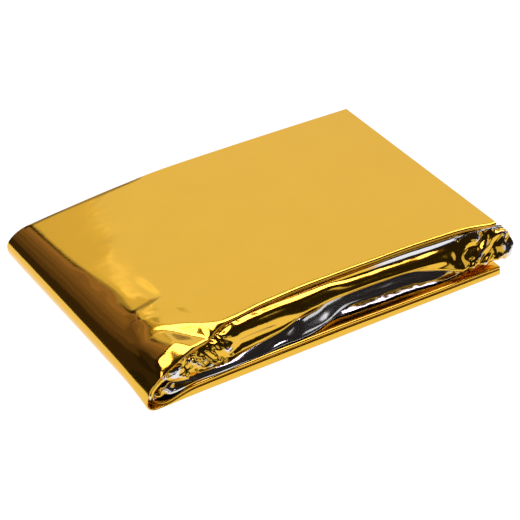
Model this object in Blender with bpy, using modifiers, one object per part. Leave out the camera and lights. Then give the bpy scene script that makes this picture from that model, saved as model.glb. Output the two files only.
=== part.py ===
"""Emergency blanket: one sheet of metallised film, pleated across its width and doubled over end to end."""

import math

import bmesh
import bpy

MM = 0.001

# Driving dimensions, in millimetres
FILM = 1.0  # thickness of the film as built
HEIGHT = 17.0  # top of the packet above the surface under it
WIDTH = 90.0  # over the lowest pleat, front to back
END_X = 63.5  # straight edge of the open end, upper half
LOWER_END_X = 62.6  # the same, lower half
# The closed end at the front and at the back of the packet: outermost x, height, length of the slope down to it
NOSE_FRONT = (-66.0, 12.0, 33.0)
NOSE_BACK = (-67.2, 13.8, 30.0)

# Depth of each layer below the outermost one: tight round the closed end, loose in the body
TIGHT = (0.0, 1.22, 2.44, 3.66, 4.88)
LOOSE = (0.0, 1.6, 2.95, 5.8, 7.1)

# How far each layer of the open end runs past END_X at the front corner
RUN_OUT = (0.0, 0.8, 2.8, 3.7, 2.6)

# Setback of each pleat edge from the outline, upper half: x, outer fold, roll, free edge
UPPER_FRONT = (
    (-66.0, 0.6, 1.4, 4.0),
    (-50.0, 1.4, 1.8, 5.0),
    (-35.0, 6.6, 4.0, 7.0),
    (-20.0, 9.3, 6.2, 8.6),
    (-4.0, 10.0, 7.4, 9.6),
    (16.0, 9.9, 7.4, 9.6),
    (38.0, 9.3, 6.6, 9.2),
    (52.0, 8.2, 5.6, 8.0),
    (62.0, 5.2, 2.6, 3.6),
)
# The same for the lower half
LOWER_FRONT = (
    (-66.0, 0.6, 1.4, 4.0),
    (-50.0, 0.0, 1.8, 5.0),
    (-35.0, 0.0, 3.2, 6.4),
    (-20.0, 0.0, 4.6, 7.6),
    (-4.0, 0.0, 5.6, 8.6),
    (16.0, 0.0, 6.4, 9.4),
    (38.0, 0.0, 6.8, 9.4),
    (52.0, 0.0, 5.8, 7.6),
    (62.0, 0.0, 2.8, 3.4),
)
# Setback of each pleat edge at the back, both halves: x, free edge, second fold, fourth fold
BACK = (
    (-66.0, 0.6, 1.3, 3.9),
    (-44.0, 1.0, 1.6, 3.9),
    (-20.0, 0.4, 1.9, 3.9),
    (10.0, 0.0, 2.1, 3.5),
    (36.0, 0.1, 2.0, 3.5),
    (62.0, 0.6, 1.8, 3.1),
)

# Unevenness of the pleat edges at the front: pleat, size, length of one wave, start of the wave
WAVES = (
    (1, 0.25, 44.0, 0.4),
    (3, 0.45, 31.0, 0.1),
    (3, 0.25, 19.0, 0.6),
    (5, 0.5, 26.0, 0.3),
)
# How far the upper face sinks between the closed end and the middle, and how long the hollow is
SAG = 0.35
SAG_LENGTH = 46.0

# Fractions of a panel's width and steps of a fold that the grid follows
PANEL_STEPS = (0.07, 0.22, 0.5, 0.8)
FOLD_STEPS = 5
BODY_STEPS = 25
NOSE_STEPS = 12
GOLD = (0.83, 0.55, 0.11, 1.0)


def ease(fraction):
    fraction = min(max(fraction, 0.0), 1.0)
    return fraction * fraction * (3.0 - 2.0 * fraction)


def mix(low, high, fraction):
    return low + (high - low) * fraction


def look_up(table, x):
    """The table's values at x, on a smooth curve through its rows."""
    x = min(max(x, table[0][0]), table[-1][0])
    at = next(index for index in range(1, len(table)) if x <= table[index][0])
    before, near, far, after = (table[min(max(at + step, 0), len(table) - 1)] for step in (-2, -1, 0, 1))
    span = far[0] - near[0]
    t = (x - near[0]) / span
    values = []
    for column in range(1, len(near)):
        start = (far[column] - before[column]) / (far[0] - before[0]) * span
        finish = (after[column] - near[column]) / (after[0] - near[0]) * span
        values.append(
            (2 * t**3 - 3 * t**2 + 1) * near[column]
            + (t**3 - 2 * t**2 + t) * start
            + (3 * t**2 - 2 * t**3) * far[column]
            + (t**3 - t**2) * finish
        )
    return values


def rows():
    """Steps along the doubled strip: (half, fraction), from the lower open end round to the upper one."""
    for step in range(BODY_STEPS):
        yield "lower", 1.0 - step / BODY_STEPS
    for step in range(NOSE_STEPS + 1):
        yield "nose", step / NOSE_STEPS
    for step in range(1, BODY_STEPS + 1):
        yield "upper", step / BODY_STEPS


def columns():
    """Steps across the pleated film: (panel, fraction of it) on a panel, (fold, turn) on the fold after it."""
    for panel in range(5):
        towards_front = panel % 2 == 0
        fractions = [0.0] + [1.0 - f for f in reversed(PANEL_STEPS)] if towards_front else [0.0, *PANEL_STEPS]
        if panel == 4:
            fractions = fractions + [1.0]
        for index, fraction in enumerate(fractions):
            if panel and index == 0:
                continue
            yield "panel", panel, fraction
        if panel < 4:
            for step in range(FOLD_STEPS + 1):
                yield "fold", panel, step / FOLD_STEPS


def strip(half, fraction, y, run_out):
    """Point and inward normal in the XZ plane of the outermost layer, and how loose the pleats are there."""
    across = ease(y / WIDTH + 0.5)
    tip, nose_height, ramp = (mix(front, back, across) for front, back in zip(NOSE_FRONT, NOSE_BACK))
    radius = (nose_height - FILM) / 2
    centre_x = tip + FILM / 2 + radius
    if half == "nose":
        turn = math.radians(180.0 * fraction - 90.0)
        back = (math.cos(turn), -math.sin(turn))
        return (centre_x - radius * back[0], nose_height / 2 - radius * back[1]), back, 0.0
    end = END_X if half == "upper" else LOWER_END_X
    x = mix(centre_x, end + run_out, fraction)
    climb = min((x - centre_x) / ramp, 1.0)
    loose = ease(climb)
    if half == "lower":
        return (x, FILM / 2), (0.0, 1.0), loose
    rise = HEIGHT - nose_height
    z = nose_height - FILM / 2 + rise * loose
    z -= SAG * math.sin(math.pi * min((x - centre_x) / SAG_LENGTH, 1.0)) ** 2 * ease((WIDTH / 2 - abs(y)) / 20.0)
    slope = rise / ramp * 6.0 * climb * (1.0 - climb)
    size = math.hypot(1.0, slope)
    return (x, z), (slope / size, -1.0 / size), loose


def edges(half, x):
    """Y of the mid-film at the two ends of every panel: the front and back edges in pleat order."""
    upper = look_up(UPPER_FRONT, x)
    lower = look_up(LOWER_FRONT, x)
    front = {"upper": upper, "lower": lower, "nose": upper}[half]
    back = look_up(BACK, x)
    near = [-WIDTH / 2 + FILM / 2 + setback for setback in front]
    swing = ease((x - NOSE_FRONT[0] - 12.0) / 14.0)
    for pleat, size, length, start in WAVES:
        if pleat > 1 or half == "upper":
            near[pleat // 2] += swing * size * math.sin(2 * math.pi * (x / length + start))
    far = [WIDTH / 2 - setback for setback in back]
    return [(far[0], near[0]), (near[0], far[1]), (far[1], near[1]), (near[1], far[2]), (far[2], near[2])]


def folded(row, column):
    """Where one point of the flat sheet lies once it is pleated and doubled over."""
    half, fraction = row
    kind, panel, part = column
    base_x = strip(half, fraction, 0.0, 0.0)[0][0]
    spans = edges(half, base_x)
    loose = strip(half, fraction, 0.0, 0.0)[2]
    depth = [mix(tight, slack, loose) for tight, slack in zip(TIGHT, LOOSE)]
    if kind == "panel":
        start, finish = spans[panel]
        inset = [0.0, 0.0]
        if panel:
            inset[0] = (depth[panel] - depth[panel - 1]) / 2
        if panel < 4:
            inset[1] = (depth[panel + 1] - depth[panel]) / 2
        side = 1.0 if finish > start else -1.0
        y = mix(start + side * inset[0], finish - side * inset[1], part)
        layer = depth[panel]
        run_out = RUN_OUT[panel]
    else:
        radius = (depth[panel + 1] - depth[panel]) / 2
        edge = spans[panel][1]
        outward = 1.0 if edge > 0.0 else -1.0
        turn = math.pi * part
        y = edge - outward * radius * (1.0 - math.sin(turn))
        layer = depth[panel] + radius * (1.0 - math.cos(turn))
        run_out = mix(RUN_OUT[panel], RUN_OUT[panel + 1], part)
    corner = ease((-20.0 - y) / 18.0)
    point, inward, _ = strip(half, fraction, y, run_out * corner)
    return point[0] + inward[0] * layer, y, point[1] + inward[1] * layer


def clear_scene():
    for found in list(bpy.data.objects):
        bpy.data.objects.remove(found)


def film_material():
    material = bpy.data.materials.new("gold_film")
    material.use_nodes = True
    shader = material.node_tree.nodes["Principled BSDF"]
    shader.inputs["Base Color"].default_value = GOLD
    shader.inputs["Metallic"].default_value = 1.0
    shader.inputs["Roughness"].default_value = 0.15
    return material


def build_blanket():
    row_list = list(rows())
    column_list = list(columns())
    sheet = bmesh.new()
    bmesh.ops.create_grid(sheet, x_segments=len(row_list) - 1, y_segments=len(column_list) - 1, size=1.0)
    for vertex in sheet.verts:
        row = round((vertex.co.x + 1.0) / 2.0 * (len(row_list) - 1))
        column = round((vertex.co.y + 1.0) / 2.0 * (len(column_list) - 1))
        vertex.co = [MM * value for value in folded(row_list[row], column_list[column])]
    mesh = bpy.data.meshes.new("foil_blanket")
    sheet.to_mesh(mesh)
    sheet.free()
    blanket = bpy.data.objects.new("foil_blanket", mesh)
    mesh.materials.append(film_material())
    group = bpy.data.collections.new("foil_blanket")
    bpy.context.scene.collection.children.link(group)
    group.objects.link(blanket)
    thicken = blanket.modifiers.new("film", "SOLIDIFY")
    thicken.thickness = FILM * MM
    thicken.offset = 0.0
    return blanket


def main():
    clear_scene()
    build_blanket()


main()
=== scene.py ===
"""Emergency foil blanket.

One sheet of film, gold outside and silver inside, pleated, doubled over and pressed flat.
"""

import math

import bmesh
import bpy
import numpy as np
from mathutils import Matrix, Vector
from mathutils.geometry import delaunay_2d_cdt


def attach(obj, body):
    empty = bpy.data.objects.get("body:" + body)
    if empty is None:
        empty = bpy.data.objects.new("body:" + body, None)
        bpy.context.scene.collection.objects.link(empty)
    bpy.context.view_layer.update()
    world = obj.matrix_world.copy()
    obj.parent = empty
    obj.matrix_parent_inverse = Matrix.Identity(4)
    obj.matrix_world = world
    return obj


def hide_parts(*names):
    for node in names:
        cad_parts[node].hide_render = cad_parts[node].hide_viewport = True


bl_info = {
    "name": "Emergency Foil Blanket",
    "version": (1, 0, 0),
    "blender": (4, 5, 0),
    "location": "3D View > Sidebar > Foil Blanket",
    "description": "Builds a folded emergency blanket and its studio",
    "category": "Object",
}

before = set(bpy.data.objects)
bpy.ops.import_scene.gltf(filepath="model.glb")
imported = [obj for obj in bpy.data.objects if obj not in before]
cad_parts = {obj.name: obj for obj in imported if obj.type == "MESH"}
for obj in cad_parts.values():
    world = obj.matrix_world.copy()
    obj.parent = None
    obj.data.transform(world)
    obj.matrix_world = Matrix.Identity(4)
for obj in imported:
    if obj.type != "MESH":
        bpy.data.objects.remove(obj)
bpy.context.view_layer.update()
MM = 0.001


# ---------------------------------------------------------------- sizes, in mm

# The doubled strip, outermost film: position across, tip of the closed end, tip height, length of the
# quarter below the tip, length and rise of the round above it
CLOSED_END = (
    (-45.0, -65.8, 2.4, 3.0, 20.0, 11.6),
    (-40.0, -65.9, 3.6, 4.5, 19.0, 10.3),
    (-32.0, -66.2, 5.6, 6.0, 18.0, 8.2),
    (-20.0, -66.4, 6.3, 6.0, 16.0, 7.3),
    (0.0, -66.6, 6.5, 6.0, 13.0, 6.4),
    (20.0, -66.9, 6.7, 6.0, 11.0, 5.8),
    (45.0, -67.2, 6.9, 6.0, 9.0, 4.8),
)
# Lengths from the tip over which the top rises and over which its rows stay close together
SLOPE = 65.0
ROUND = 22.0
# x of the open end on the upper and the lower half
UPPER_END = 63.5
LOWER_END = 62.6
TOP = 17.0
BACK = 45.0
# y at which the front folds are set out
FRONT = -38.0
PANELS = 7

# For each panel: depth below the top at the front and in the middle, on the upper half; share of the flap's
# thickness at the front and height above the floor in the middle, on the lower half; depth at the closed end
UPPER_FRONT_DEPTH = (0.0, 0.95, 1.05, 1.7, 2.4, 7.4, 7.6)
UPPER_MIDDLE_DEPTH = (0.0, 0.9, 1.05, 2.0, 3.9, 6.2, 8.0)
LOWER_FRONT_SHARE = (0.0, 0.7, 0.74, 0.97, 1.04, 2.1, 2.25)
LOWER_MIDDLE_HEIGHT = (0.0, 1.2, 1.4, 2.6, 3.6, 5.9, 8.2)
NOSE_DEPTH = (0.0, 0.5, 0.6, 1.2, 1.5, 4.0, 4.4)

# Front lips: x, y of the upper half's first and second lip, y of the lower half's, thickness of the flap
# that they make
LIPS = (
    (-66.0, -43.2, -38.5, -43.6, -38.5, 3.4),
    (-62.0, -43.0, -39.5, -43.6, -41.0, 3.4),
    (-58.7, -42.6, -41.4, -43.6, -43.0, 3.4),
    (-53.0, -41.5, -41.2, -43.6, -43.3, 3.6),
    (-45.5, -39.6, -39.4, -43.6, -43.3, 3.8),
    (-41.0, -38.1, -37.9, -43.6, -43.3, 3.9),
    (-37.0, -36.7, -36.5, -43.6, -43.3, 4.0),
    (-30.0, -36.2, -36.0, -43.6, -43.3, 4.0),
    (-22.5, -35.4, -35.2, -43.6, -43.2, 4.0),
    (-15.0, -35.1, -34.8, -43.6, -43.2, 4.0),
    (-7.8, -34.8, -34.5, -43.6, -43.2, 4.0),
    (3.0, -34.8, -34.4, -43.6, -43.2, 4.0),
    (10.5, -34.8, -34.3, -43.6, -43.2, 3.8),
    (21.5, -35.0, -34.4, -43.6, -43.2, 3.5),
    (32.5, -35.1, -34.6, -43.7, -43.3, 3.4),
    (43.5, -35.7, -35.2, -43.8, -43.4, 3.3),
    (54.0, -36.7, -36.2, -43.8, -43.4, 3.2),
    (62.0, -39.0, -38.4, -43.8, -43.6, 3.2),
)
# The gold roll, y and z at each x: its shoulder, brow, face, pocket and edge
GOLD_ROLL = (
    (-63.0, -37.0, 9.6, -38.5, 9.0, -39.6, 8.2, -40.4, 7.2, -41.0, 6.2),
    (-58.7, -39.6, 11.2, -41.0, 10.2, -41.8, 8.8, -42.4, 7.4, -42.9, 6.0),
    (-53.5, -39.4, 13.2, -40.8, 12.2, -41.8, 10.4, -42.5, 8.6, -43.1, 6.8),
    (-46.0, -38.2, 13.6, -39.8, 12.6, -40.9, 10.6, -41.8, 8.9, -42.6, 7.6),
    (-38.5, -37.4, 13.9, -39.2, 13.1, -40.4, 10.6, -40.8, 8.6, -42.0, 6.8),
    (-31.5, -36.4, 15.2, -38.4, 14.6, -40.1, 11.9, -39.3, 9.4, -41.1, 6.9),
    (-24.5, -36.0, 15.2, -38.1, 14.6, -39.8, 11.6, -38.9, 9.6, -40.5, 7.0),
    (-16.5, -35.4, 14.95, -37.4, 14.35, -39.2, 11.3, -38.8, 9.4, -39.9, 7.9),
    (-9.5, -35.4, 14.8, -37.5, 14.1, -39.3, 10.8, -39.1, 10.5, -39.2, 10.2),
    (1.5, -35.2, 14.75, -37.0, 14.1, -38.5, 11.2, -38.2, 10.9, -38.4, 10.4),
    (9.0, -34.9, 13.8, -36.9, 13.2, -38.3, 11.2, -38.0, 10.9, -38.3, 10.5),
    (20.0, -34.9, 13.35, -36.9, 12.7, -38.3, 10.9, -38.0, 10.6, -38.3, 10.2),
    (31.0, -35.1, 13.0, -37.2, 12.3, -38.8, 10.6, -38.4, 10.3, -38.7, 9.9),
    (42.0, -35.8, 13.0, -37.9, 12.2, -39.6, 10.2, -39.6, 8.8, -40.4, 7.2),
    (48.0, -36.2, 13.6, -38.2, 12.0, -40.2, 9.8, -41.8, 7.9, -43.0, 6.4),
    (54.0, -36.8, 14.8, -38.6, 12.8, -40.4, 10.7, -42.0, 8.5, -43.3, 6.6),
    (59.0, -37.6, 14.6, -39.4, 12.6, -41.0, 10.5, -42.4, 8.2, -43.4, 6.2),
    (63.0, -38.4, 14.2, -40.2, 12.2, -41.6, 10.2, -42.8, 7.9, -43.4, 5.8),
)
# Height at which the film drops to the gold roll from under the lips, and its least depth below the top
GOLD_START = 15.1
GOLD_DEPTH = 1.85
# The silver roll, y and z at each x: its edge, skirt, foot, brow and shoulder
SILVER_ROLL = (
    (-63.0, -38.0, 4.0, -37.8, 4.2, -37.6, 4.4, -37.4, 5.6, -36.0, 6.0),
    (-59.0, -42.6, 3.8, -42.2, 4.0, -41.8, 4.2, -41.0, 5.8, -39.4, 6.3),
    (-54.0, -43.0, 3.9, -42.8, 4.1, -42.6, 4.4, -41.4, 6.6, -39.8, 7.1),
    (-46.5, -42.7, 4.1, -42.3, 4.3, -42.0, 4.6, -40.4, 7.5, -38.8, 7.9),
    (-40.0, -42.9, 4.2, -42.6, 4.4, -42.2, 4.6, -40.6, 6.3, -38.9, 6.8),
    (-33.0, -42.9, 4.2, -42.6, 4.4, -42.2, 4.6, -40.4, 5.8, -38.6, 6.2),
    (-25.0, -42.9, 4.2, -42.6, 4.4, -42.2, 4.8, -40.3, 6.6, -38.6, 7.0),
    (-18.5, -42.5, 4.3, -41.9, 5.0, -41.2, 5.2, -39.6, 7.0, -38.2, 7.4),
    (-11.0, -42.7, 4.4, -42.2, 4.9, -41.5, 5.5, -39.8, 8.9, -38.4, 9.3),
    (-4.0, -41.4, 4.3, -40.7, 4.6, -40.2, 5.1, -38.4, 8.7, -37.2, 9.0),
    (1.5, -39.4, 4.2, -39.0, 4.5, -38.6, 4.9, -36.8, 8.3, -35.8, 9.4),
    (9.0, -39.6, 4.3, -38.3, 4.8, -36.9, 5.35, -35.8, 7.9, -35.0, 9.0),
    (20.0, -39.8, 3.9, -38.4, 4.4, -36.9, 5.0, -35.8, 7.6, -35.0, 8.8),
    (31.0, -40.0, 3.8, -38.7, 4.3, -37.3, 4.85, -36.3, 7.3, -35.4, 8.6),
    (41.0, -41.0, 3.6, -40.0, 4.05, -39.0, 4.5, -38.0, 6.6, -37.0, 7.6),
    (53.0, -40.0, 3.4, -39.4, 3.7, -38.9, 4.2, -38.0, 6.0, -36.8, 6.6),
    (62.6, -38.8, 3.3, -38.4, 3.6, -38.0, 4.0, -37.6, 6.0, -36.0, 6.6),
)
# Edges at the back, both halves: x, setback of the free edge and of the three folds
BACK_EDGES = (
    (-66.0, 0.4, 0.8, 1.4, 2.0),
    (-44.0, 0.9, 0.5, 1.2, 2.4),
    (-20.0, 0.3, 0.8, 1.5, 2.8),
    (10.0, 0.0, 1.0, 1.8, 2.6),
    (36.0, 0.1, 0.9, 1.5, 2.4),
    (63.5, 0.5, 1.0, 1.4, 2.0),
)
# The pressed corner of the top, as facets between these points: x, y, depth below the smooth top
CORNER = (
    (-54.3, -25.5, 0.0),
    (-46.4, -29.8, -0.2),
    (-41.5, -33.1, -0.2),
    (-34.8, -36.2, 0.0),
    (-59.3, -28.8, -0.2),
    (-50.9, -28.9, 0.3),
    (-47.9, -32.4, 0.9),
    (-44.7, -36.2, 1.4),
    (-40.3, -38.0, 1.1),
    (-51.6, -36.6, -0.6),
    (-57.3, -37.9, -0.8),
    (-60.7, -38.9, -0.9),
    (-62.1, -39.5, -0.7),
    (-42.4, -37.4, 1.7),
    (-48.1, -39.4, 0.7),
    (-54.0, -41.0, 0.5),
    (-59.4, -41.6, 0.1),
    (-61.6, -41.5, 0.0),
    (-38.0, -46.0, 1.5),
    (-47.0, -46.0, 2.4),
    (-55.0, -46.0, 2.0),
    (-61.0, -46.0, 1.2),
    (-66.0, -46.0, 0.3),
    (-66.0, -38.0, 0.0),
    (-62.5, -30.0, 0.0),
    (-58.0, -23.0, 0.0),
    (-48.0, -24.5, 0.0),
    (-39.0, -28.5, 0.0),
    (-30.0, -36.0, 0.0),
    (-30.0, -46.0, 0.0),
)
# x and y that the corner's points and their soft creases stay below
CORNER_END = (-25.0, -20.0)
# The ridges and valleys that the corner's facets keep, as places in the list of points
CORNER_LINES = ((0, 1, 2, 3), (0, 5, 6, 7, 13, 8), (4, 9, 10, 11, 12))
CORNER_FOLDS = [pair for line in CORNER_LINES for pair in zip(line, line[1:])]

# Creases on the outermost film of the upper half: start x, y, end x, y, width of the steep side at the
# back, height
TOP_CREASES = (
    (-57.5, -17.6, -39.0, -16.4, 1.7, 0.38),
    (-59.0, -20.2, -46.5, -23.6, 1.4, 0.3),
    (-51.0, -12.5, -33.0, -13.6, 2.4, 0.2),
    (-46.5, -6.6, -28.0, -4.6, 2.4, 0.17),
    (-44.0, -23.2, -27.0, -19.4, 1.8, 0.13),
    (-37.0, -20.2, -26.0, -21.2, 1.1, 0.1),
    (-34.0, -5.8, -18.0, -7.4, 1.6, 0.09),
    (-58.0, -4.0, -28.0, 7.0, 2.4, 0.34),
    (-60.0, 9.0, -34.0, 19.0, 3.0, 0.3),
)
# Width and depth of the turned-down edge at the back of the top
CURL_WIDTH = 2.2
CURL_DEPTH = 0.4
# How far the bunched film swells out of the open end
SWELL = 4.6
# Relief of the film's facets on the rolls: at the open end, at the closed end, between them, on the ruffle
RIGHT_RELIEF = 0.95
LEFT_RELIEF = 0.8
MIDDLE_RELIEF = 0.05
RUFFLE_RELIEF = 0.12


# ---------------------------------------------------------------- shapes


def ease(fraction):
    """A smooth step from 0 to 1."""
    fraction = np.clip(fraction, 0.0, 1.0)
    return fraction * fraction * (3.0 - 2.0 * fraction)


def ramp(value, start, finish):
    """0 up to the start, 1 from the finish on, with a smooth step between them."""
    return ease((value - start) / (finish - start))


def mix(low, high, fraction):
    return low + (high - low) * fraction


def look_up(table, x):
    """Every column of the table at x, on smooth curves through its rows."""
    rows = np.array(table)
    at = rows[:, 0]
    x = np.clip(x, at[0], at[-1])
    index = np.clip(np.searchsorted(at, x), 1, len(at) - 1)
    before, near, far, after = (np.clip(index + step, 0, len(at) - 1) for step in (-2, -1, 0, 1))
    span = at[far] - at[near]
    t = (x - at[near]) / span
    found = []
    for column in rows.T[1:]:
        start = (column[far] - column[before]) / (at[far] - at[before]) * span
        finish = (column[after] - column[near]) / (at[after] - at[near]) * span
        found.append(
            (2 * t**3 - 3 * t**2 + 1) * column[near]
            + (t**3 - 2 * t**2 + t) * start
            + (3 * t**2 - 2 * t**3) * column[far]
            + (t**3 - t**2) * finish
        )
    return found


def bend(controls, at, rounding):
    """The point at a fraction of the line through the controls, with the line's corners rounded."""
    samples = 7
    last = len(controls) - 1
    place = at * last
    half = min(rounding / 2, place, last - place)
    total = 0.0
    for step in np.linspace(-half, half, samples):
        index = min(int(place + step), last - 1)
        total = total + mix(controls[index], controls[index + 1], place + step - index)
    return total / samples


class Rows:
    """Stations along the doubled strip: u runs from 0 at the lower open end, round the closed end, to 4."""

    def __init__(self, fine, coarse, low_steps, round_steps):
        stations = [0.0]
        length = UPPER_END - CLOSED_END[0][1] - ROUND
        while stations[-1] < length:
            x = stations[-1] + CLOSED_END[0][1] + ROUND
            crumpled = float(max(ramp(x, -26.0, -36.0), ramp(x, 36.0, 48.0)))
            stations.append(stations[-1] + mix(coarse, fine, crumpled))
        body = np.array(stations) / stations[-1]
        below = np.concatenate([[0.0], np.cumsum(np.diff(stations)[::-1])])
        below = below / below[-1]
        quarter = np.linspace(0.0, 1.0, low_steps + 1)[1:]
        turn = np.linspace(0.0, 1.0, round_steps + 1)[1:]
        self.u = np.concatenate([below, 1.0 + quarter, 2.0 + turn, 3.0 + body[1:]])
        self.count = len(self.u)
        self.upper = self.u > 2.5
        self.turn = ease((self.u - 1.0) / 2.0)


def outline(u, y):
    """The outermost film in the XZ plane at u, for a position across."""
    tip, height, low, length, rise = look_up(CLOSED_END, y)
    flat = np.clip(u, 0.0, 1.0)
    quarter = np.clip(u - 1.0, 0.0, 1.0) * np.pi / 2
    turn = np.clip(u - 2.0, 0.0, 1.0)
    body = np.clip(u - 3.0, 0.0, 1.0)
    along = np.where(u > 3.0, ROUND + body * (UPPER_END - tip - ROUND), ROUND * turn**2)
    bulge = np.clip(1.0 - along / length, 0.0, 1.0)
    top = height + rise * np.sqrt(np.maximum(1.0 - bulge**2, 0.0))
    top = top + (TOP - height - rise) * (1.0 - np.clip(1.0 - along / SLOPE, 0.0, 1.0) ** 2)
    under_tip = tip + low * (1.0 - np.sin(quarter))
    x = np.where(u <= 1.0, mix(LOWER_END, tip + low, flat), np.where(u <= 2.0, under_tip, tip + along))
    z = np.where(u <= 1.0, 0.0, np.where(u <= 2.0, height * (1.0 - np.cos(quarter)), top))
    return x, z


def strip(rows, y):
    """Points and inward normals in the XZ plane of the outermost film."""
    u = rows.u
    px, pz = outline(u, y)
    step = 0.004
    ax, az = outline(np.maximum(u - step, 0.0), y)
    bx, bz = outline(np.minimum(u + step, 4.0), y)
    tx, tz = bx - ax, bz - az
    size = np.maximum(np.hypot(tx, tz), 1e-9)
    return px, pz, tz / size, -tx / size


def film_columns():
    """Stations across the film: "panel" or "fold", the panel or the one before the fold, fraction."""
    curled = (0.0, 0.006, 0.012, 0.018, 0.025, 0.035)
    outer = [*curled, *np.linspace(0.05, 0.7, 10), *np.linspace(0.715, 0.985, 26)]
    dense = [0.05, 0.3, 0.5, 0.6, 0.67, 0.73, 0.78, 0.82, 0.86, 0.9, 0.93, 0.97]
    sparse = [0.08, 0.4, 0.66, 0.82, 0.94]
    fold_counts = {0: 17, 2: 13, 4: 44}
    plain_count = 6
    found = []
    for panel in range(PANELS):
        towards_front = dense if panel in (1, 2) else sparse
        if panel == 0:
            steps = outer
        elif panel % 2:
            steps = [1.0 - f for f in reversed(towards_front)]
        else:
            steps = towards_front + ([1.0] if panel == PANELS - 1 else [])
        found += [("panel", panel, float(step)) for step in steps]
        if panel < PANELS - 1:
            count = fold_counts.get(panel, plain_count)
            found += [("fold", panel, float(step)) for step in np.linspace(0.0, 1.0, count)]
    return found


class Pleats:
    """Where each fold's control points lie on every row, as y and depth."""

    def __init__(self, rows):
        self.rows = rows
        self.x, self.height, _, _ = strip(rows, np.full(rows.count, FRONT))
        x, upper = self.x, rows.upper
        # 0 round the closed end, where the panels lie close, and 1 where they are spread out
        open_low, open_up = ramp(x, -60.0, -48.0), ramp(x, -62.0, -48.0)
        self.open = np.where(rows.u < 1.0, open_low, np.where(rows.u < 2.0, 0.0, open_up))
        up1, up2, low1, low2, self.flap = look_up(LIPS, x)
        self.fold = {}
        for panel, edge in ((0, mix(low1, up1, rows.turn)), (2, mix(low2, up2, rows.turn))):
            top, bottom = self.level(panel, FRONT), self.level(panel + 1, FRONT)
            size = bottom - top
            upright = np.where(upper, 0.0, 1.0)
            self.fold[panel] = [
                (edge + mix(1.5, 1.2, upright) * (1.0 if panel == 0 else 0.6), top),
                (edge + mix(0.6, 0.3, upright), top + size * mix(0.09, 0.0, upright)),
                (edge + mix(0.08, 0.0, upright), top + size * mix(0.4, 0.12, upright)),
                (edge, mix(top, bottom, mix(0.6, 0.4, upright))),
                (edge + 0.05, mix(top, bottom, 0.85)),
                (edge + 0.4, bottom),
                (edge + 1.4, bottom),
            ]
        self.fold[4] = self.rolls()
        free, *back_folds = look_up(BACK_EDGES, x)
        self.back_free = BACK - free
        for panel, setback in zip((1, 3, 5), back_folds):
            edge = BACK - setback
            top, bottom = self.level(panel, BACK), self.level(panel + 1, BACK)
            draw = 0.3 + 0.5 * (bottom - top)
            self.fold[panel] = [
                (edge - draw, top),
                (edge, mix(top, bottom, 0.3)),
                (edge, mix(top, bottom, 0.7)),
                (edge - draw, bottom),
            ]
        # The free edge at the front is hidden, a little behind the end of the roll
        self.front_free = self.fold[4][-1][0] + 1.5

    def rolls(self):
        """The fold at the front: a gold roll on the upper half and a silver one on the lower half."""
        x, upper = self.x, self.rows.upper
        top, bottom = self.level(4, FRONT), self.level(5, FRONT)
        gold = look_up(GOLD_ROLL, x)
        silver = look_up(SILVER_ROLL, x)
        start = np.maximum(gold[1] + 0.15, np.minimum(GOLD_START, self.height - GOLD_DEPTH))
        gold_line = [(gold[0] + 3.2, start), (gold[0] + 0.15, start)]
        gold_line += [(gold[0] + 0.05, mix(start, gold[1], 0.5)), *zip(gold[::2], gold[1::2])]
        gold_line += [(gold[8] + 1.5, gold[9] - 0.2), (gold[8] + 4.0, gold[9] - 0.3)]
        silver_line = [(silver[0] + behind, silver[1] + 0.1) for behind in (3.0, 1.0)]
        silver_line += zip(silver[::2], silver[1::2])
        silver_line += [(silver[8] + behind, silver[9] + 0.1) for behind in (1.2, 2.4, 4.0)]
        # At the closed end the rolls give way to a plain round fold, which starts here and bulges so far
        fold_y, bulge = -40.0, 1.6
        nose_low, nose_up = 1.0 - ramp(x, -61.0, -55.0), 1.0 - ramp(x, -63.0, -57.0)
        nose = np.where(self.rows.u < 1.0, nose_low, np.where(upper, nose_up, 1.0))
        found = []
        for index, (up, low) in enumerate(zip(gold_line, silver_line)):
            part = index / (len(gold_line) - 1)
            round_y = fold_y - bulge * math.sin(math.pi * part)
            round_depth = mix(top, bottom, float(ease(part)))
            y = np.where(upper, up[0], low[0])
            depth = np.where(upper, np.maximum(self.height - up[1], 1.2), low[1])
            found.append((mix(y, round_y, nose), mix(depth, round_depth, nose)))
        return found

    def level(self, panel, y):
        """Depth of a panel on every row, at a position across."""
        inner = ramp(y, -34.0, -14.0)
        up = mix(UPPER_FRONT_DEPTH[panel], UPPER_MIDDLE_DEPTH[panel], inner)
        low = mix(LOWER_FRONT_SHARE[panel] * self.flap, LOWER_MIDDLE_HEIGHT[panel], inner)
        body = np.where(self.rows.upper, up * self.height / TOP, low)
        return mix(NOSE_DEPTH[panel], body, self.open)

    def at(self, kind, panel, part):
        """(y, depth) on every row, for one station across the film."""
        if kind == "fold":
            rounding = 0.9 if panel == 4 else 1.2
            ys, depths = zip(*self.fold[panel])
            return bend(ys, part, rounding), bend(depths, part, rounding)
        start = self.fold[panel - 1][-1] if panel else (self.back_free, 0.0)
        if panel < PANELS - 1:
            finish = self.fold[panel][0]
        else:
            finish = (self.front_free, self.level(panel, self.front_free))
        y = mix(start[0], finish[0], part)
        found = self.level(panel, y)
        # Within this reach of a fold the panel bends to the fold's own depth
        reach = 8.0
        for end_y, end_depth in (start, finish):
            found = found + (end_depth - self.level(panel, end_y)) * ease(1.0 - np.abs(y - end_y) / reach)
        return y, found


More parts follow.
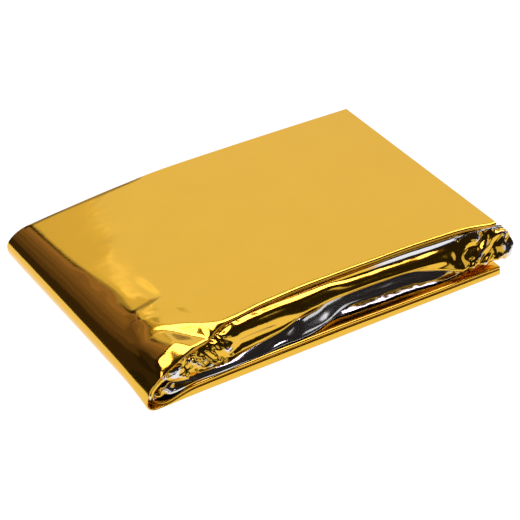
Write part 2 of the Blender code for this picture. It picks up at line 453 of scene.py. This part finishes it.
def facets(x, y, table, folds):
    """Flat facets between the points of the table, which is x, y and a value. Outside them the value is 0."""
    tiny = 1e-6
    found, _, faces, index, _, _ = delaunay_2d_cdt([Vector(row[:2]) for row in table], folds, [], 0, tiny)
    value = [table[origin[0]][2] for origin in index]
    total = np.zeros_like(x)
    for a, b, c in faces:
        (ax, ay), (bx, by), (cx, cy) = found[a], found[b], found[c]
        size = (bx - ax) * (cy - ay) - (cx - ax) * (by - ay)
        if abs(size) < tiny:
            continue
        u = ((x - ax) * (cy - ay) - (cx - ax) * (y - ay)) / size
        v = ((bx - ax) * (y - ay) - (x - ax) * (by - ay)) / size
        inside = (u >= -tiny) & (v >= -tiny) & (u + v <= 1.0 + tiny)
        total = np.where(inside, value[a] + u * (value[b] - value[a]) + v * (value[c] - value[a]), total)
    return total


def soft_facets(x, y, table, folds, softness):
    """The facets with their creases rounded off over the softness."""
    steps = np.linspace(-softness, softness, 5)
    return sum(facets(x + a, y + b, table, folds) for a in steps for b in steps) / len(steps) ** 2


def folded_facets(u, v, size, seed):
    """Random heights from -1 to 1 on a bent, slanted grid, joined by flat facets with sharp creases."""
    count = 64
    sway, slant = 0.35, 0.4
    heights = np.random.default_rng(seed).uniform(-1.0, 1.0, (count, count))
    b = v / size + sway * np.sin(u / size * 1.7 + 2 * seed)
    a = u / size + sway * np.sin(v / size * 2.1 + seed) + b * slant
    i, j = np.floor(a).astype(int), np.floor(b).astype(int)
    f, g = a - i, b - j

    def corner(along, across):
        return heights[(i + along) % count, (j + across) % count]

    right = corner(0, 0) * (1 - f) + corner(1, 0) * (f - g) + corner(1, 1) * g
    left = corner(0, 0) * (1 - g) + corner(0, 1) * (g - f) + corner(1, 1) * f
    return np.where(f > g, right, left)


def creases(x, y, table):
    """Height of the creases: steep at the back, shallow in front, quick to start and slow to die away."""
    shallow = 3.5
    total = np.zeros_like(x)
    for x0, y0, x1, y1, width, height in table:
        run = math.hypot(x1 - x0, y1 - y0)
        along = ((x - x0) * (x1 - x0) + (y - y0) * (y1 - y0)) / run
        off = ((y - y0) * (x1 - x0) - (x - x0) * (y1 - y0)) / run
        part = along / run
        taper = ramp(part, 0.0, 0.15) * ramp(part, 1.0, 0.4)
        total += height * taper * np.exp(-((off / np.where(off > 0.0, width, shallow * width)) ** 2))
    return total


def roll_relief(rows, x, z, girth, part):
    """On the fold that makes the rolls: lift along the normal, swelling along x, and silver that shows."""
    upper = rows.upper
    right, left = ramp(x, 44.0, 54.0), ramp(x, -30.0, -39.0)
    hold = float(ramp(part, 0.0, 0.2) * ramp(part, 1.0, 0.8))
    right_facets = folded_facets(x, girth, 2.0, 7)
    left_facets = folded_facets(np.where(upper, x, rows.u * 9.0) * 0.6, girth, 1.7, 14)
    middle_facets = folded_facets(x * 0.3, girth, 1.5, 3)
    ruffles = folded_facets(x * 0.8, girth * 0.6, 1.1, 8)
    ruffled = ramp(x, -2.0, 6.0) * ramp(x, 40.0, 32.0) * np.where(upper, 0.0, ramp(part, 0.45, 0.35))
    lift = right * hold * RIGHT_RELIEF * right_facets + left * hold * LEFT_RELIEF * left_facets
    lift = lift + (1.0 - right) * (1.0 - left) * hold * MIDDLE_RELIEF * middle_facets
    lift = lift + RUFFLE_RELIEF * hold * ruffled * ruffles
    # The film swells most halfway up the bundle
    middle, reach = 10.5, 6.5
    belly = np.clip(1.0 - ((z - middle) / reach) ** 2, 0.0, 1.0)
    swelling = SWELL * hold * belly * ramp(x, 52.0, 63.0) ** 2
    patches = np.where(right > 0.4, right_facets > 0.6, left_facets > 0.5) * (left + right > 0.4)
    gold_roll_silver = ramp(x, 16.0, 24.0) * (part < 0.34)
    silver_roll_silver = ramp(x, -50.0, -44.0) * (right < 0.5)
    silver = np.maximum(np.where(upper, gold_roll_silver, silver_roll_silver), patches * hold)
    return lift, swelling, silver


def film_points(rows, columns, pleats):
    """The film's middle surface: points as rows by columns by 3, silver that shows, lift along the normal."""
    points = np.empty((rows.count, len(columns), 3))
    silver = np.zeros((rows.count, len(columns)))
    lift = np.zeros((rows.count, len(columns)))
    girth = np.zeros(rows.count)
    last = None
    upper = rows.upper
    for index, (kind, panel, part) in enumerate(columns):
        y, depth = pleats.at(kind, panel, part)
        x, outer_z, nx, nz = strip(rows, y)
        points[:, index] = np.stack([x + nx * depth, y, outer_z + nz * depth], axis=-1)
        if last is not None:
            girth = girth + np.hypot(y - last[0], depth - last[1])
        last = (y, depth)
        # The pressed corner reaches the inner layers too, and less the lower they lie
        share = np.clip(points[:, index, 2] / np.maximum(outer_z, 1.0), 0.0, 1.0)
        near = np.flatnonzero(upper & (x < CORNER_END[0]) & (y < CORNER_END[1]))
        pressed = soft_facets(x[near], y[near], CORNER, CORNER_FOLDS, softness=0.5)
        points[near, index, 2] -= pressed * share[near] ** 2
        if panel == 0 and kind == "panel":
            lift[:, index] = creases(x, y, TOP_CREASES) * upper
            curl = np.clip((y - BACK + CURL_WIDTH) / CURL_WIDTH, 0.0, 1.0) ** 2
            curl = curl * ramp(x, -14.0, -26.0) * ramp(x, -64.0, -56.0)
            points[:, index, 2] -= CURL_DEPTH * curl * upper
        if panel == 4 and kind == "fold":
            relief = roll_relief(rows, x, points[:, index, 2], girth, part)
            lift[:, index], swelling, silver[:, index] = relief
            points[:, index, 0] += swelling
    return points, silver, lift


def normals_of(points):
    """Unit normals of the points, towards the film's outer side."""
    along = np.gradient(points, axis=0)
    across = np.gradient(points, axis=1)
    found = np.cross(across, along)
    return found / np.maximum(np.linalg.norm(found, axis=-1, keepdims=True), 1e-9)


def film_mesh(name, points, silver, flat_u, flat_v, thickness):
    """A closed thin sheet through the points: gold on its outer side, silver on its inner side."""
    normals = normals_of(points)
    rows, columns = points.shape[:2]
    count = rows * columns
    outer = points + normals * thickness / 2
    inner = points - normals * thickness / 2
    vertices = np.concatenate([outer.reshape(-1, 3), inner.reshape(-1, 3)]) * MM
    index = np.arange(count).reshape(rows, columns)
    corners = (index[:-1, :-1], index[1:, :-1], index[1:, 1:], index[:-1, 1:])
    a, b, c, d = (corner.ravel() for corner in corners)
    # Both sides of the film are split along the same, shorter diagonal
    place = points.reshape(-1, 3)
    short = np.linalg.norm(place[a] - place[c], axis=1) <= np.linalg.norm(place[b] - place[d], axis=1)
    first = np.where(short[:, None], np.stack([a, d, c], axis=-1), np.stack([a, d, b], axis=-1))
    second = np.where(short[:, None], np.stack([a, c, b], axis=-1), np.stack([d, c, b], axis=-1))
    front = np.concatenate([first, second])
    back = front[:, ::-1] + count
    rim_line = np.concatenate([index[0, :], index[1:, -1], index[-1, -2::-1], index[-2:0:-1, 0]])
    following = np.roll(rim_line, -1)
    rim = np.stack([rim_line, rim_line + count, following + count, following], axis=-1)
    mesh = bpy.data.meshes.new(name)
    mesh.from_pydata(vertices.tolist(), [], front.tolist() + back.tolist() + rim.tolist())
    loops = np.empty(len(mesh.loops), np.int32)
    mesh.loops.foreach_get("vertex_index", loops)
    shown = np.concatenate([silver.ravel(), np.ones(count)])[loops]
    # The rim's four-cornered faces come last, and stay gold
    shown[-4 * len(rim) :] = 0.0
    side = mesh.attributes.new("silver_side", "FLOAT", "CORNER")
    side.data.foreach_set("value", shown.astype(np.float32))
    layer = mesh.uv_layers.new(name="film")
    uv = np.stack([np.broadcast_to(flat_u[:, None], (rows, columns)), flat_v], axis=-1).reshape(-1, 2)
    uv = np.concatenate([uv, uv]) * MM
    layer.data.foreach_set("uv", uv[loops].astype(np.float32).ravel())
    mesh.shade_smooth()
    ends = np.empty(2 * len(mesh.edges), np.int32)
    mesh.edges.foreach_get("vertices", ends)
    on_rim = np.zeros(len(mesh.vertices), bool)
    on_rim[np.concatenate([rim_line, rim_line + count])] = True
    sharp = mesh.attributes.new("sharp_edge", "BOOLEAN", "EDGE")
    sharp.data.foreach_set("value", on_rim[ends.reshape(-1, 2)].all(axis=1))
    return mesh


# ---------------------------------------------------------------- materials


class Socket:
    """One output of a node. Plain arithmetic on it adds Math nodes to its tree."""

    def __init__(self, tree, output):
        self.tree = tree
        self.output = output

    def _math(self, operation, *values):
        return self.tree.node("ShaderNodeMath", {"operation": operation}, *values)

    def __add__(self, other):
        return self._math("ADD", self, other)

    def __radd__(self, other):
        return self._math("ADD", other, self)

    def __mul__(self, other):
        return self._math("MULTIPLY", self, other)

    def __rmul__(self, other):
        return self._math("MULTIPLY", other, self)


class Finish:
    """A material's node tree around one Principled shader."""

    def __init__(self, name):
        self.material = bpy.data.materials.new(name)
        self.material.use_nodes = True
        self.nodes = self.material.node_tree.nodes
        self.links = self.material.node_tree.links
        self.shader = self.nodes["Principled BSDF"]

    def set(self, target, value):
        if isinstance(value, Socket):
            self.links.new(value.output, target)
        else:
            target.default_value = value

    def node(self, kind, settings, *values, out=0, **named):
        made = self.nodes.new(kind)
        for key, value in settings.items():
            setattr(made, key, value)
        for position, value in enumerate(values):
            self.set(made.inputs[position], value)
        for key, value in named.items():
            self.set(made.inputs[key.replace("_", " ")], value)
        return Socket(self, made.outputs[out])

    def blend(self, fraction, low, high):
        """A colour between low and high. Inputs 6 and 7 and output 2 are the node's colours."""
        made = self.nodes.new("ShaderNodeMix")
        made.data_type = "RGBA"
        self.set(made.inputs[0], fraction)
        self.set(made.inputs[6], low)
        self.set(made.inputs[7], high)
        return Socket(self, made.outputs[2])

    def feed(self, name, value):
        self.set(self.shader.inputs[name], value)


def film_finish(gold, silver, roughness, wrinkle):
    finish = Finish("metallised_film")
    side = finish.node("ShaderNodeAttribute", {"attribute_name": "silver_side"}, out="Fac")
    place = finish.node("ShaderNodeTexCoord", {}, out="Object")
    cloud = finish.node("ShaderNodeTexNoise", {}, Vector=place, Scale=60.0, Detail=2.0, out="Fac")
    tint = finish.blend(cloud * 0.5, (*gold, 1.0), (gold[0] * 0.93, gold[1] * 0.88, gold[2] * 0.8, 1.0))
    finish.feed("Base Color", finish.blend(side, tint, (*silver, 1.0)))
    finish.feed("Metallic", 1.0)
    finish.feed("Specular Tint", (1.0, 0.86, 0.6, 1.0))
    finish.feed("Coat Weight", 0.7)
    finish.feed("Coat Roughness", 0.08)
    grain = finish.node("ShaderNodeTexNoise", {}, Vector=place, Scale=220.0, out="Fac")
    finish.feed("Roughness", grain * 0.04 + roughness)
    waves = finish.node("ShaderNodeTexNoise", {}, Vector=place, Scale=130.0, Detail=2.0, out="Fac")
    bump = finish.node("ShaderNodeBump", {}, Strength=0.15, Distance=wrinkle, Height=waves, out="Normal")
    finish.feed("Normal", bump)
    return finish.material


# ---------------------------------------------------------------- properties and operators


class BlanketSettings(bpy.types.PropertyGroup):
    gold: bpy.props.FloatVectorProperty(
        name="Gold",
        description="Colour of the outer side",
        subtype="COLOR",
        size=3,
        default=(0.8, 0.465, 0.02),
    )
    silver: bpy.props.FloatVectorProperty(
        name="Silver",
        description="Colour of the inner side",
        subtype="COLOR",
        size=3,
        default=(0.73, 0.73, 0.74),
    )
    roughness: bpy.props.FloatProperty(
        name="Roughness",
        description="Blur of what the film mirrors",
        default=0.1,
        min=0.0,
        max=1.0,
        subtype="FACTOR",
    )
    thickness: bpy.props.FloatProperty(
        name="Film",
        description="Thickness that the film is shown with",
        default=0.00006,
        unit="LENGTH",
        precision=5,
    )


class StudioSettings(bpy.types.PropertyGroup):
    azimuth: bpy.props.FloatProperty(
        name="Azimuth", description="Camera angle round the packet, in degrees", default=-32.07
    )
    elevation: bpy.props.FloatProperty(
        name="Elevation", description="Camera angle above the floor, in degrees", default=35.53
    )
    distance: bpy.props.FloatProperty(
        name="Distance", description="Camera to the packet", default=0.568, unit="LENGTH"
    )
    lens: bpy.props.FloatProperty(
        name="Lens", description="Focal length in mm on a 36 mm sensor", default=122.8
    )


class BLANKET_OT_film(bpy.types.Operator):
    """Fold the sheet of film into its packet"""

    bl_idname = "blanket.film"
    bl_label = "Folded film"

    def execute(self, context):
        settings = context.scene.blanket
        rows = Rows(fine=0.6, coarse=1.4, low_steps=10, round_steps=30)
        columns = film_columns()
        pleats = Pleats(rows)
        points, silver, lift = film_points(rows, columns, pleats)
        points = points + normals_of(points) * lift[..., None]
        # The flat length is taken along one column of the top panel, the flat width along every row
        length_column = 20
        runs = np.linalg.norm(np.diff(points[:, length_column], axis=0), axis=-1)
        flat_u = np.concatenate([[0.0], np.cumsum(runs)])
        steps = np.linalg.norm(np.diff(points, axis=1), axis=-1)
        flat_v = np.concatenate([np.zeros((rows.count, 1)), np.cumsum(steps, axis=1)], axis=1)
        thickness = settings.thickness / MM
        points[..., 2] = np.maximum(points[..., 2], thickness / 2)
        mesh = film_mesh("foil_film", points, silver, flat_u, flat_v, thickness)
        film = bpy.data.objects.new("foil_film", mesh)
        context.scene.collection.objects.link(film)
        outside, inside = tuple(settings.gold), tuple(settings.silver)
        mesh.materials.append(film_finish(outside, inside, settings.roughness, wrinkle=0.0004))
        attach(film, "root")
        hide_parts("foil_blanket")
        return {"FINISHED"}


# What the film mirrors: azimuth from +Y towards +X, elevation, width, height, radiance and tint of each
# soft box. The top mirrors the back box and the wide box that lies over it, and the fade boxes let both die
# away round the closed end. The hot boxes give the glints, and the ring boxes light the other sides.
WHITE = (1.0, 1.0, 1.0)
AMBER = (1.0, 0.88, 0.5)
BROWN = (1.0, 0.64, 0.67)
PINK = (1.0, 0.82, 1.1)
CREAM = (1.0, 0.95, 0.8)
LIGHTS = (
    ("back_box", 52.0, 39.5, 1.46, 0.6, 0.55, WHITE),
    ("wide_box", 46.0, 37.0, 1.7, 0.95, 0.41, CREAM),
    ("low_box", 38.0, 10.0, 1.3, 0.42, 0.22, BROWN),
    ("fade_1", 12.0, 45.0, 0.2, 0.6, 0.42, AMBER),
    ("fade_2", -2.5, 46.0, 0.13, 0.6, 0.33, BROWN),
    ("fade_3", -9.5, 45.5, 0.14, 0.6, 0.24, BROWN),
    ("fade_4", -17.0, 43.5, 0.14, 0.6, 0.18, BROWN),
    ("fade_5", -25.0, 40.5, 0.16, 0.6, 0.12, BROWN),
    ("fade_6", -33.0, 35.5, 0.18, 0.6, 0.07, BROWN),
    ("dim_box", -42.0, 20.0, 0.8, 1.0, 0.02, BROWN),
    ("hot_box", 52.0, 71.0, 1.0, 0.56, 5.2, PINK),
    ("hot_high", -62.0, 76.0, 0.5, 0.5, 4.0, PINK),
    ("hot_side", 78.0, 50.0, 0.4, 0.3, 5.2, PINK),
    ("ring_back", 0.0, 17.0, 0.5, 0.36, 0.7, WHITE),
    ("ring_left", -90.0, 20.0, 0.8, 0.5, 0.8, WHITE),
    ("ring_left_front", -135.0, 20.0, 0.9, 0.5, 0.8, WHITE),
    ("ring_front", 184.0, 20.0, 0.6, 0.5, 0.8, WHITE),
    ("ring_right_front", 126.0, 24.0, 0.6, 0.5, 0.8, WHITE),
    ("ring_right", 88.0, 20.0, 0.8, 0.5, 0.8, WHITE),
)


# All in m, from the packet: the soft boxes' distance, the floor's radius, the point that the camera circles
LIGHT_DISTANCE = 1.4
FLOOR_RADIUS = 6.0
ORBIT_CENTRE = (-0.0013, 0.0008, 0.0)
# The camera's turn to the right and up from that point, as slopes
AIM_RIGHT = 0.00261
AIM_UP = 0.00465


def area_light(name, azimuth, elevation, width, height, radiance, tint):
    """A soft box that faces the packet, out of the camera's own view."""
    data = bpy.data.lights.new(name, "AREA")
    data.shape = "RECTANGLE"
    data.size, data.size_y = width, height
    data.energy = radiance * math.pi * width * height
    data.color = tint
    light = bpy.data.objects.new(name, data)
    a, e = math.radians(azimuth), math.radians(elevation)
    towards = Vector((math.sin(a) * math.cos(e), math.cos(a) * math.cos(e), math.sin(e)))
    light.location = towards * LIGHT_DISTANCE
    light.rotation_mode = "QUATERNION"
    light.rotation_quaternion = towards.to_track_quat("Z", "Y")
    light.visible_camera = False
    bpy.context.scene.collection.objects.link(light)


class BLANKET_OT_stage(bpy.types.Operator):
    """Make the floor, the soft boxes and the camera"""

    bl_idname = "blanket.stage"
    bl_label = "Studio"

    def execute(self, context):
        scene = context.scene
        settings = scene.blanket_studio
        mesh = bpy.data.meshes.new("floor")
        shape = bmesh.new()
        bmesh.ops.create_circle(shape, cap_ends=True, segments=96, radius=FLOOR_RADIUS)
        shape.to_mesh(mesh)
        shape.free()
        floor = bpy.data.objects.new("floor", mesh)
        scene.collection.objects.link(floor)
        finish = Finish("floor_paper")
        finish.feed("Base Color", (0.12, 0.12, 0.12, 1.0))
        finish.feed("Roughness", 0.9)
        finish.feed("Specular IOR Level", 0.0)
        finish.feed("Emission Color", (1.0, 1.0, 1.0, 1.0))
        finish.feed("Emission Strength", 1.0)
        mesh.materials.append(finish.material)

        for box in LIGHTS:
            area_light(*box)

        # The film mirrors a dark room, and the camera alone sees a white backdrop
        world = bpy.data.worlds.new("studio")
        world.use_nodes = True
        nodes, links = world.node_tree.nodes, world.node_tree.links
        dark = nodes["Background"]
        dark.inputs["Color"].default_value = (0.02, 0.016, 0.015, 1.0)
        backdrop = nodes.new("ShaderNodeBackground")
        backdrop.inputs["Color"].default_value = (1.0, 1.0, 1.0, 1.0)
        seen = nodes.new("ShaderNodeLightPath")
        either = nodes.new("ShaderNodeMixShader")
        links.new(seen.outputs["Is Camera Ray"], either.inputs[0])
        links.new(dark.outputs[0], either.inputs[1])
        links.new(backdrop.outputs[0], either.inputs[2])
        links.new(either.outputs[0], nodes["World Output"].inputs["Surface"])
        scene.world = world
        scene.view_settings.view_transform = "Standard"

        data = bpy.data.cameras.new("camera")
        data.lens = settings.lens
        data.sensor_width = 36.0
        camera = bpy.data.objects.new("camera", data)
        a, e = math.radians(settings.azimuth), math.radians(settings.elevation)
        back = Vector((math.sin(a) * math.cos(e), -math.cos(a) * math.cos(e), math.sin(e)))
        right = Vector((math.cos(a), math.sin(a), 0.0))
        up = back.cross(right)
        camera.location = back * settings.distance + Vector(ORBIT_CENTRE)
        aim = -back + right * AIM_RIGHT + up * AIM_UP
        camera.rotation_mode = "QUATERNION"
        camera.rotation_quaternion = aim.to_track_quat("-Z", "Y")
        data.clip_start, data.clip_end = 0.01, 50.0
        scene.collection.objects.link(camera)
        scene.camera = camera
        return {"FINISHED"}


class BLANKET_PT_panel(bpy.types.Panel):
    bl_idname = "BLANKET_PT_panel"
    bl_label = "Foil Blanket"
    bl_space_type = "VIEW_3D"
    bl_region_type = "UI"
    bl_category = "Foil Blanket"

    def draw(self, context):
        for group in (context.scene.blanket, context.scene.blanket_studio):
            for name in group.bl_rna.properties.keys():
                if name not in ("rna_type", "name"):
                    self.layout.prop(group, name)
        for operator in OPERATORS:
            self.layout.operator(operator.bl_idname)


OPERATORS = (BLANKET_OT_film, BLANKET_OT_stage)
CLASSES = (BlanketSettings, StudioSettings, *OPERATORS, BLANKET_PT_panel)


def register():
    for cls in CLASSES:
        bpy.utils.register_class(cls)
    bpy.types.Scene.blanket = bpy.props.PointerProperty(type=BlanketSettings)
    bpy.types.Scene.blanket_studio = bpy.props.PointerProperty(type=StudioSettings)


def unregister():
    del bpy.types.Scene.blanket_studio
    del bpy.types.Scene.blanket
    for cls in reversed(CLASSES):
        bpy.utils.unregister_class(cls)


def main():
    register()
    bpy.ops.blanket.film()
    bpy.ops.blanket.stage()


if __name__ == "__main__":
    main()
